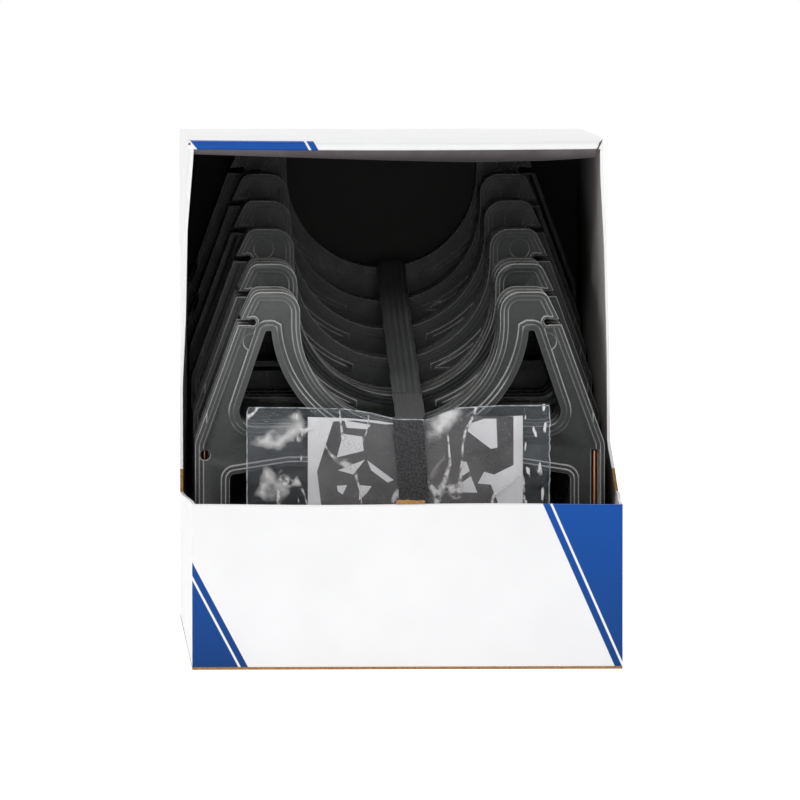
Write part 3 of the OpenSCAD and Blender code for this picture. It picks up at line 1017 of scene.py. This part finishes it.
# The loop's inner line as (y, z) in millimetres: from the back over the levels to the bag,
# then round the bag, and back under the arches to the foot of the back.
STRAP_LEVELS = ((202.8, 202.0), (179.85, 202.0), (134.25, 184.6), (81.05, 171.0), (20.25, 157.0),
                (-48.15, 140.2), (-101.35, 126.8))
STRAP_BACK = (202.8, 157.8)
STRAP_OVER = ((-101.35, 126.8), (-104.4, 126.8), (-106.3, 126.2), (-107.2, 124.4))
STRAP_FACE = -107.4
STRAP_UNDER = ((-107.4, 42.0), (-106.8, 40.4), (-105.2, 39.7), (-101.8, 39.6))


def stretch(start, end, count):
    """Evenly spaced points from start up to, but without, end."""
    return [tuple(a + (b - a) * i / count for a, b in zip(start, end)) for i in range(count)]


def strap_route():
    """The closed inner line as (y, z) in metres: up the back, over, down and back under."""
    points = [STRAP_BACK]
    for start, end in zip(STRAP_LEVELS, STRAP_LEVELS[1:]):
        points += stretch(start, end, 10)
    points += STRAP_OVER
    points += [(STRAP_FACE, z) for z in range(120, 44, -5)]
    points += STRAP_UNDER
    points += stretch(STRAP_UNDER[-1], STRAP_BACK, 40)[1:]
    return [(y * MM, z * MM) for y, z in points]


def strap_centre(y, z):
    """Sideways place of the strap's middle: it runs a little askew over the bag."""
    if y > -100 * MM:
        return strap_mid
    return strap_mid + between(((40, 1.2), (90, 1.2), (126, -1.4)), z / MM) * MM


def ribbon(name, route, half, thick, ragged):
    """A closed flat ribbon along route: one section after another, joined all the way round."""
    count = len(route)
    verts, faces = [], []
    for i, (y, z) in enumerate(route):
        (ya, za), (yb, zb) = route[i - 1], route[(i + 1) % count]
        size = math.hypot(yb - ya, zb - za)
        out = Vector((0, -(zb - za) / size, (yb - ya) / size)) * -1
        centre = strap_centre(y, z)
        wander = rng.uniform(-ragged, ragged)
        low, high = -half + wander, half + wander
        section = ((low, 0.15), (-half * 0.5, 0), (0, 0), (half * 0.5, 0), (high, 0.15),
                   (high, 0.8), (half * 0.93, 1), (half * 0.4, 1.08), (-half * 0.4, 1.08),
                   (-half * 0.93, 1), (low, 0.8))
        for x, t in section:
            verts.append(Vector((centre + x, y, z)) + out * (thick * t))
    ring = len(section)
    for i in range(count):
        for j in range(ring):
            a, b = i * ring + j, i * ring + (j + 1) % ring
            c, d = ((i + 1) % count) * ring + (j + 1) % ring, ((i + 1) % count) * ring + j
            faces.append((a, b, c, d))
    return drawn(name, verts, faces)


def cut_between(source, name, y_low, y_high):
    """A copy of source that keeps only what lies between two Y planes."""
    piece = copied(source, name)
    edit(piece)
    for y, keep_above in ((y_low, True), (y_high, False)):
        if y is not None:
            bpy.ops.mesh.select_all(action="SELECT")
            bpy.ops.mesh.bisect(plane_co=(0, y, 0), plane_no=(0, 1, 0), clear_inner=keep_above,
                                clear_outer=not keep_above)
    object_mode()
    return piece


whole_strap = ribbon("strap_whole", strap_route(), strap_half, STRAP_T, STRAP_RAGGED)
coat(whole_strap, [strap_tape])
smooth(whole_strap, 50)


def mid_plane(k):
    """Middle plane of panel k, counted from the front."""
    return stack_y + panel_step * (k - 1) + (panel_step - PANEL_GAP) / 2


front_strap = cut_between(whole_strap, "strap_front", None, mid_plane(1))
settle(front_strap, "panel_1", "hook_and_loop", "binding_strap")
for k in range(1, MOVING + 1):
    length = cut_between(whole_strap, f"strap_over_panel_{k}", mid_plane(k), mid_plane(k + 1))
    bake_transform(length)
rear_strap = cut_between(whole_strap, "strap_rear", mid_plane(MOVING + 1), None)
settle(rear_strap, "carton", "hook_and_loop")
bpy.data.objects.remove(whole_strap)
print("strap route", len(strap_route()), "points")

# %% [markdown]
# ## Polybag, leaflet and tie-down straps
# A clear bag hangs on the front panel, held by the strap. Each film is a sheet with folds:
# soft ridges pull towards the strap, and a crinkled seam runs down either side. The film
# shows mostly by what it mirrors, so its material mixes clear and glossy by the angle, with
# a thin haze. On the front film a few pale patches, thin crease lines and glints on the
# seams are painted reflections of the lamps.

# %% Clear film material
# Outlines of painted reflections on the front film, in millimetres.
PAINTED_GLARES = (
    ((-78, 115), (-67, 128), (-55, 131), (-52, 122), (-66, 112)),
    ((-76, 90), (-72, 101), (-60, 90), (-62, 86), (-76, 86)),
    ((15, 127), (27, 134.5), (33, 132), (24, 120), (15, 117)),
    ((14.5, 103), (21, 107), (24, 114), (19, 100), (15, 96)),
    ((-3, 121), (-10, 128), (-13, 127), (-9, 108), (-7.5, 108)),
)


def clear_film(name, glares):
    """Thin polyethylene film. glares are outlines of painted reflections, in millimetres."""
    material = bpy.data.materials.new(name)
    material.use_nodes = True
    tree = material.node_tree
    tree.nodes.clear()
    place = add_node("TexCoord", tree=tree, out="Object")
    tall = add_node("Mapping", place, Scale=(1, 1, 0.35), Rotation=(0, 0.35, 0))
    broad = add_node("TexNoise", tall, Scale=1 / (16 * MM), Detail=2, Roughness=0.4)
    folds = add_node("Math.ABSOLUTE", add_node("Math.SUBTRACT", broad, 0.5))
    fine = add_node("TexNoise", place, Scale=1 / (5 * MM), Detail=3, Roughness=0.55)
    height = add_node("Math.ADD", folds, add_node("Math.MULTIPLY", fine, 0.25))
    normal = add_node("Bump", Height=height, Distance=6 * MM, Strength=0.6)
    see_through = add_node("BsdfTransparent", tree=tree, Color="#FEFEFF")
    mirror = add_node("BsdfGlossy", Color="#E8F0F4", Roughness=0.06, Normal=normal)
    # Two skins lie so close that only part of the plain reflection of each is seen.
    share = add_node("Math.MULTIPLY", add_node("Fresnel", IOR=1.42, Normal=normal), 0.35)
    film = add_node("MixShader", share, see_through, mirror)
    veil = add_node("BsdfDiffuse", tree=tree, Color="#C4CDD2")
    cloud = add_node("TexNoise", place, Scale=1 / (22 * MM), Detail=3, Roughness=0.55)
    cloudy = add_node("MapRange", cloud, 0.35, 0.8, 0.0, 0.04)
    last = add_node("MixShader", cloudy, film, veil)
    if glares:
        last = add_painted_reflections(tree, glares, last, place, tall)
    add_node("OutputMaterial", last, out=None)
    return material


def add_painted_reflections(tree, glares, film, place, tall):
    """The film with painted reflections: white patches, bright crease lines and glints on its
    seams.
    """
    x, _, z = add_node("SeparateXYZ", place, out=None).outputs
    shine = add_node("BsdfDiffuse", tree=tree, Color="#FFFFFF")
    wide = add_node("Math.SUBTRACT",
                    add_node("TexNoise", place, Scale=1 / (14 * MM), Detail=2, Roughness=0.55), 0.5)
    tight = add_node("Math.SUBTRACT",
                     add_node("TexNoise", place, Scale=1 / (4 * MM), Detail=3, Roughness=0.55), 0.5)
    bent = add_node("Math.ADD", add_node("Math.MULTIPLY", wide, 9 * MM),
                    add_node("Math.MULTIPLY", tight, 3 * MM))
    u, v = add_node("Math.ADD", x, bent), add_node("Math.SUBTRACT", z, bent)
    # Painted reflections: pale patches where a fold would mirror a lamp.
    mask = None
    for corners in glares:
        patch = inside_shape(u, v, corners, 2.2 * MM)
        mask = patch if mask is None else add_node("Math.MAXIMUM", mask, patch)
    mask = add_node("Math.MULTIPLY", mask, add_node("MapRange", wide, -0.12, 0.1, 0.1, 0.8))
    # Painted highlights along thin crease lines.
    folds = add_node("TexNoise", tall, Scale=1 / (26 * MM), Detail=1, Roughness=0.3)
    bend = add_node("Math.ABSOLUTE", add_node("Math.SUBTRACT", folds, 0.5))
    crease_highlight = add_node("Math.MULTIPLY", add_node("MapRange", bend, 0.012, 0.004),
                      add_node("MapRange", tight, -0.1, 0.1, 0.0, 0.7))
    # Painted glints on the two seams.
    sparks = add_node("TexNoise", tall, Scale=1 / (3 * MM), Detail=2, Roughness=0.3)
    glints = add_node("MapRange", sparks, 0.66, 0.7, 0, 0.85)
    seams = add_node("Math.MULTIPLY", glints, seam_strips(x))
    for extra in (crease_highlight, seams):
        mask = add_node("Math.MAXIMUM", mask, extra)
    return add_node("MixShader", mask, film, shine)


# The two crinkled seams, from their lowest to their highest x in millimetres.
SEAMS = ((-57, -53), (67, 79.5))


def seam_strips(x):
    """1 on the two crinkled seams of the bag."""
    mask = None
    for low, high in SEAMS:
        rise = add_node("MapRange", x, (low - 0.5) * MM, (low + 0.5) * MM)
        fall = add_node("MapRange", x, (high + 0.5) * MM, (high - 0.5) * MM)
        strip = add_node("Math.MULTIPLY", rise, fall)
        mask = strip if mask is None else add_node("Math.MAXIMUM", mask, strip)
    return mask


front_film_look = clear_film("clear_polyethylene_film", PAINTED_GLARES)
back_film_look = clear_film("clear_polyethylene_film_back", ())

# %% Bag films
BAG_TOP = ((-82.8, 133.8), (-81.7, 134.2), (-56, 134.0), (-30, 133.4), (-16, 131.2),
           (-3, 127.6), (14, 127.6), (20, 130.0), (30, 133.8), (55, 135.0), (80.4, 136.0))


def crinkle(x, z):
    """Height of the folds at a place on the bag, in millimetres: ridges that run to the strap."""
    at = Vector((x / 17, 0.3, z / 30))
    wave = 1 - abs(noise_lib.noise(at) * 2.2)
    small = noise_lib.noise(Vector((x / 6, 4.1, z / 9)))
    seam = 0.0
    for low, high in SEAMS:
        near = max(0.0, 1 - abs(x - (low + high) / 2) / ((high - low) / 2 + 1))
        seam = max(seam, near)
    rough = noise_lib.noise(Vector((x / 2.2, 8.2, z / 3.0)))
    return wave * 1.1 + small * 0.35 + seam * rough * 1.1


def bag_film(name, node, bulge, material):
    """A film drawn as a fine grid, its top edge dipped under the strap, and folded."""
    low, high = (Vector(c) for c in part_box(node))
    deselect_all()
    bpy.ops.mesh.primitive_grid_add(x_subdivisions=150, y_subdivisions=90, size=1,
                                    rotation=(math.pi / 2, 0, 0))
    film = bpy.context.object
    film.name = name
    apply_place(film)
    middle_y = (low.y + high.y) / 2
    for vertex in film.data.vertices:
        u, v = vertex.co.x + 0.5, vertex.co.z + 0.5
        x = low.x / MM + u * (high.x - low.x) / MM
        top = between(BAG_TOP, x)
        z = low.z / MM + v * (top - low.z / MM)
        x += 0.35 * noise_lib.noise(Vector((u * 3, 1.7, z / 3))) * (abs(u - 0.5) * 2) ** 8
        free = min(1.0, max(0.0, abs(x - strap_mid / MM) - 9) / 10)
        rim = min(1.0, (1 - v) * 9, u * 14, (1 - u) * 14)
        out = (crinkle(x, z) + bulge) * free * max(0.15, rim)
        vertex.co = Vector((x * MM, middle_y - max(0.0, out) * MM, z * MM))
    modify(film, "SOLIDIFY", thickness=0.12 * MM, offset=0)
    coat(film, [material])
    smooth(film, 60)
    return film


front_film = bag_film("polybag_front", "polybag_front_film", 0.6, front_film_look)
settle(front_film, "bag", "clear_film", "polybag_front_film")
back_film = bag_film("polybag_back", "polybag_back_film", -9, back_film_look)
settle(back_film, "bag", "clear_film", "polybag_back_film")

# %% [markdown]
# A film shows most at its cut and folded edges, where it stands on end and looks pale. They
# are drawn as a thin line of film round the bag, a little ragged on the right, and painted
# pale grey as a highlight.

# %% Film edges
EDGE_HALF, EDGE_DEPTH = 0.28, 0.22


def film_edges():
    """The bag's cut and folded edges, where the film stands on end, painted pale as a highlight."""
    low, high = (Vector(c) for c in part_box("polybag_front_film"))
    route = [(low.x / MM, z) for z in range(42, 134, 3)] + list(BAG_TOP[1:-1])
    route += [(high.x / MM, z) for z in range(135, 41, -2)]
    count = len(route)
    verts = []
    for i, (x, z) in enumerate(route):
        wander = 0.35 if x > 75 else 0.12
        x, z = x + rng.uniform(-wander, wander), z + rng.uniform(-0.12, 0.12)
        (xa, za), (xb, zb) = route[max(i - 1, 0)], route[min(i + 1, count - 1)]
        size = math.hypot(xb - xa, zb - za)
        side = Vector((-(zb - za) / size, 0, (xb - xa) / size))
        under = abs(x - strap_mid / MM) < 10
        centre = Vector((x, low.y / MM + (0.1 if under else -0.1), z))
        verts += [(centre + side * EDGE_HALF * a + Vector((0, EDGE_DEPTH * b, 0))) * MM
                  for a, b in ((-1, 0), (0, -1), (1, 0), (0, 1))]
    faces = [(4 * i + j, 4 * i + (j + 1) % 4, 4 * i + 4 + (j + 1) % 4, 4 * i + 4 + j)
             for i in range(count - 1) for j in range(4)]
    edges = drawn("polybag_edges", verts, faces)
    # Painted highlight: the edge's pale grey stands in for the light it catches.
    material, surface, place = new_material("film_edge_painted_highlight", Roughness=0.2, IOR=1.5)
    grain = add_node("TexNoise", place, Scale=1 / (4 * MM), Detail=3, Roughness=0.55)
    colour = add_node("Mix.RGBA", add_node("MapRange", grain, 0.35, 0.65), "#6F7A82", "#DDE3E6")
    lay_on(surface, Base_Color=colour)
    coat(edges, [material])
    return edges


settle(film_edges(), "bag", "clear_film")

# %% [markdown]
# The leaflet is a white sheet of uncoated paper, printed with one large dark shape and pale
# patches in it. The shapes are thin flat faces on the paper, dark ink first and then white.

# %% Leaflet
DARK_SHAPES = (
    ((-36.3, 126.6), (-45.0, 99.7), (-40.0, 58), (66, 58), (61, 90), (60.9, 129.2),
     (38, 129.6), (12, 126), (-8, 125), (-25, 127.2)),
)
PALE_SHAPES = (
    ((-31, 120.0), (-20.7, 118.5), (-19.8, 110.8), (-34.4, 107.2)),
    ((-19.2, 106.0), (-25.5, 98.0), (-33.8, 100.3)),
    ((-18.0, 105.7), (-3.7, 95.0), (-6.9, 93.6), (-15.9, 100.3)),
    ((-34.4, 92.0), (-28.8, 92.3), (-31.2, 87.2), (-33.8, 89.0)),
    ((-21.9, 92.3), (-15.6, 91.7), (-18.3, 87.8), (-22.5, 84.0)),
    ((-30.3, 127.2), (-16.0, 124.8), (-18.0, 122.4), (-29.0, 123.2)),
    ((37.0, 125.2), (45.1, 128.0), (51.7, 128.0), (52.3, 112.3), (48.7, 111.7), (36.2, 121.2)),
    ((33.7, 104.8), (35.6, 104.8), (37.3, 99.7), (31.9, 96.2)),
    ((37.9, 97.0), (41.5, 88.0), (31.9, 88.3), (32.5, 93.2)),
    ((60.9, 102.9), (50.5, 97.8), (45.1, 99.4), (41.6, 93.0), (48.7, 92.4), (52.3, 83.3),
     (50, 60), (66.0, 60), (66, 103)),
)


# The leaflet's top edge as (x, height) in millimetres.
LEAFLET_TOP = ((-50, 129.7), (-28, 129.0), (-12, 127.6), (-3, 126.0), (14, 126.0), (22, 128.4),
               (66, 130.2))


def printed_paper():
    """White uncoated paper, matt and a little wavy."""
    material, surface, place = new_material("white_leaflet_paper", Roughness=0.7, IOR=1.45)
    soft = add_node("TexNoise", place, Scale=1 / (12 * MM), Detail=3, Roughness=0.55)
    colour = add_node("Mix.RGBA", add_node("MapRange", soft, 0.3, 0.8), "#FFFFFF", "#F2F0EF")
    lay_on(surface, Base_Color=colour, Normal=add_node("Bump", Height=soft, Distance=0.4 * MM))
    return material


def speckled_ink():
    """Dark grey ink that covers unevenly, so that the paper's grain shows as specks."""
    material, surface, place = new_material("dark_printing_ink", Roughness=0.6, IOR=1.45)
    grain = add_node("TexNoise", place, Scale=1 / (0.9 * MM), Detail=5, Roughness=0.8)
    cloud = add_node("TexNoise", place, Scale=1 / (30 * MM), Detail=2, Roughness=0.55)
    base = add_node("Mix.RGBA", add_node("MapRange", cloud, 0.35, 0.7), "#4C4A4A", "#6C6968")
    colour = add_node("Mix.RGBA", add_node("MapRange", grain, 0.5, 0.72), base, "#8C8886")
    lay_on(surface, Base_Color=colour)
    return material


def leaflet_pieces():
    """The sheet of paper, and its printed shapes as one piece."""
    low, high = (Vector(c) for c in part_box("instruction_leaflet"))
    paper = block("leaflet", low, high)
    edit(paper)
    cut_planes("X", in_mm(-48, 66, 6))
    object_mode()
    for vertex in paper.data.vertices:
        if vertex.co.z > high.z - 2 * MM:
            vertex.co.z = between(LEAFLET_TOP, vertex.co.x / MM) * MM - 0.6 * MM
    white = printed_paper()
    coat(paper, [white])
    settle(paper, "bag", "printed_paper", "instruction_leaflet")
    prints = []
    for shapes, material, lift in ((DARK_SHAPES, speckled_ink(), 0.05), (PALE_SHAPES, white, 0.10)):
        for shape in shapes:
            points = [(x * MM, low.y - lift * MM, z * MM) for x, z in shape]
            patch = outline("leaflet_patch", points)
            if patch.data.polygons[0].normal.y > 0:
                turn_over(patch)
            coat(patch, [material])
            prints.append(patch)
    settle(joined(prints, "leaflet_print"), "bag", "printed_paper")


leaflet_pieces()

# %% [markdown]
# Behind the leaflet lie the folded tie-down straps, flat bands of black webbing. One block
# is shaped for each, with rounded folds and a slight wave.

# %% Folded tie-down straps
TIE_COUNT = 6
TIE_GAP = 0.3 * MM


def tie_webbing():
    """Plain woven webbing: warp and weft cross as two waves, coarser than life so they show."""
    material, surface, place = new_material("black_woven_webbing", Roughness=0.85, IOR=1.45)
    x, _, z = add_node("SeparateXYZ", place, out=None).outputs
    warp = add_node("Math.SINE", add_node("Math.MULTIPLY", x, 2 * math.pi / (1.4 * MM)))
    weft = add_node("Math.SINE", add_node("Math.MULTIPLY", z, 2 * math.pi / (1.1 * MM)))
    weave = add_node("MapRange", add_node("Math.MULTIPLY", warp, weft), -0.9, 0.9)
    colour = add_node("Mix.RGBA", weave, "#161718", "#34363A")
    lay_on(surface, Base_Color=colour, Normal=add_node("Bump", Height=weave, Distance=0.2 * MM))
    return material


def tie_straps():
    """The folded straps, one above the other, as one piece."""
    low, high = (Vector(c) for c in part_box("tie_down_straps"))
    wide = (high.z - low.z + TIE_GAP) / TIE_COUNT
    pieces = []
    for i in range(TIE_COUNT):
        z = low.z + i * wide
        strap = block(f"tie_strap_{i + 1}", (low.x, low.y, z), (high.x, high.y, z + wide - TIE_GAP))
        modify(strap, "BEVEL", width=1.2 * MM, segments=3, limit_method="ANGLE")
        edit(strap)
        cut_planes("X", in_mm(int(low.x / MM) + 6, int(high.x / MM), 6))
        object_mode()
        for vertex in strap.data.vertices:
            wave = math.sin(vertex.co.x * 90 + i * 1.3)
            vertex.co.z += 0.12 * MM * wave
            squeeze = 1 - 0.06 * (1 + wave)
            vertex.co.y = high.y + (vertex.co.y - high.y) * squeeze
        pieces.append(strap)
    bundle = joined(pieces, "tie_straps_folded")
    coat(bundle, [tie_webbing()])
    smooth(bundle, 40)
    return bundle


settle(tie_straps(), "bag", "tie_webbing", "tie_down_straps")

# %% [markdown]
# ## Floor, backdrop and light
# The studio is plain: a white floor and world and four small lamps, one on each side, one in
# front and one above. The world is seen as white but gives only a third of that light, so
# that colours come out about as they are written.

# %% Studio
def studio_white():
    """A white floor that glows, most where it is far off, so that only the shadow shows."""
    material, surface, place = new_material(
        "studio_floor", Base_Color="#F4F4F4", Roughness=0.9, Specular_IOR_Level=0.0,
        Emission_Color=(1, 1, 1, 1))
    far = add_node("VectorMath", place, operation="LENGTH", out="Value")
    lay_on(surface, Emission_Strength=add_node("MapRange", far, 0.4, 3.0, 0.6, 1.0))
    return material


deselect_all()
bpy.ops.mesh.primitive_plane_add(size=14, location=(0, 0, -0.2 * MM))
studio_floor = bpy.context.object
studio_floor.name = "studio_floor"
studio_floor.data.materials.append(studio_white())
studio_floor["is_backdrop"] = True


LIGHT_AIM = Vector((0, 0, 0.12))
WORLD_LIGHT = 0.35


def area_light(name, place, size, watts):
    """A small square lamp that points at the middle of the carton."""
    lamp = bpy.data.lights.new(name, "AREA")
    lamp.shape = "SQUARE"
    lamp.size = size
    lamp.energy = watts
    obj = bpy.data.objects.new(name, lamp)
    bpy.context.collection.objects.link(obj)
    obj.location = place
    obj.rotation_euler = (LIGHT_AIM - Vector(place)).to_track_quat("-Z", "Y").to_euler()


# Name, place in metres, width in metres and power in watts.
LAMPS = (
    ("left_light", (-1.1, -1.5, 0.75), 0.22, 3.6),
    ("right_light", (1.1, -1.5, 0.75), 0.22, 1.2),
    ("front_light", (-0.3, -1.95, 1.05), 0.3, 4.6),
    ("top_light", (0, 0.5, 1.9), 0.35, 13),
)
for lamp_values in LAMPS:
    area_light(*lamp_values)

world = bpy.data.worlds.new("studio_world")
bpy.context.scene.world = world
world.use_nodes = True
sky = world.node_tree
sky.nodes.clear()
seen = add_node("LightPath", tree=sky, out=None)
direct = add_node("Math.MAXIMUM", seen.outputs["Is Camera Ray"],
                  seen.outputs["Is Transmission Ray"])
direct = add_node("Math.MAXIMUM", direct, seen.outputs["Is Glossy Ray"])
level = add_node("MapRange", direct, 0.0, 1.0, WORLD_LIGHT, 1.0)
glow = add_node("Background", Color=(1, 1, 1, 1), Strength=level)
add_node("OutputWorld", glow, out=None)
bpy.context.scene.view_settings.view_transform = "Standard"
print("lamps:", ", ".join(name for name, *values in LAMPS))

# %% [markdown]
# ## Finish
# The last line gives the boxes of the CAD model and of the dressed model, side by side.

# %% The two boxes


def corners(box):
    """A box's two corners as plain numbers."""
    return [[float(v) for v in corner] for corner in box]


{"cad": corners(cad_box), "visual": corners(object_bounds())}
